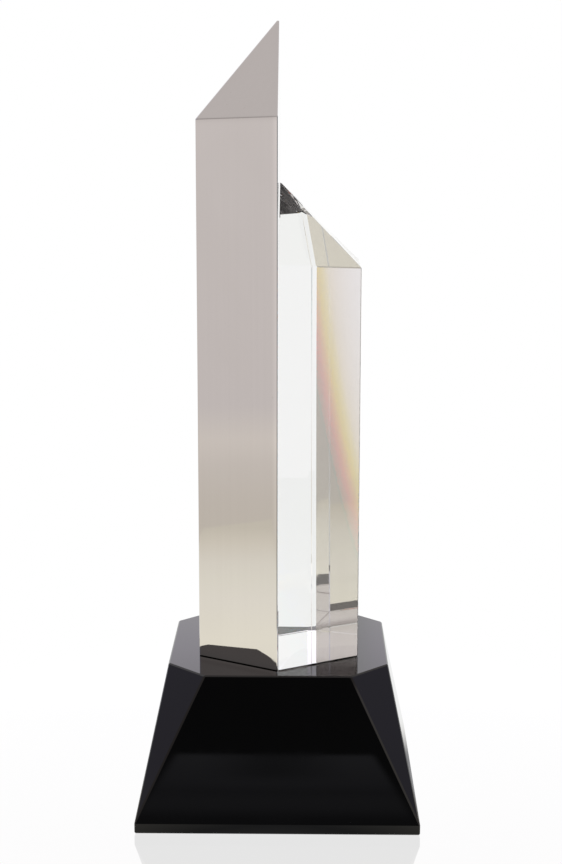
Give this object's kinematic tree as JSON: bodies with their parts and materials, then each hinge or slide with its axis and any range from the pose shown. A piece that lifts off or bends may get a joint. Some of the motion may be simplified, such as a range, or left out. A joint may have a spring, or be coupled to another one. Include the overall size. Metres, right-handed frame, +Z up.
{
  "type": "crystal award",
  "caption": "Split hexagonal column award: tall mirror-metal half and shorter clear crystal half on a black crystal block with sloping sides.",
  "frame": {"origin": "centre of the foot pad's underside, on the table", "axes": "+Z up along the column's axis, -Y the front that one column edge faces, +X from the metal half to the crystal half"},
  "size_m": [0.108, 0.108, 0.3022],
  "materials": {
    "mirror_metal": "mirror polished, bright plated, buffed edges",
    "clear_crystal": "optically clear, polished facets",
    "black_crystal": "opaque black, polished facets",
    "grey_adhesive": "cured adhesive",
    "clear_adhesive": "cured clear adhesive",
    "black_steel": "black oxide",
    "zinc_steel": "zinc plated",
    "white_nylon": "moulded",
    "black_foam": "matt foam sheet"
  },
  "bodies": {
    "root": {"metal_tower": "mirror_metal", "crystal_tower": "clear_crystal", "black_base": "black_crystal", "metal_bond": "grey_adhesive", "crystal_bond": "clear_adhesive", "tower_screw": "black_steel", "lock_washer": "zinc_steel", "flat_washer": "zinc_steel", "cushion_washer": "white_nylon", "foot_pad": "black_foam"}
  },
  "joints": []
}
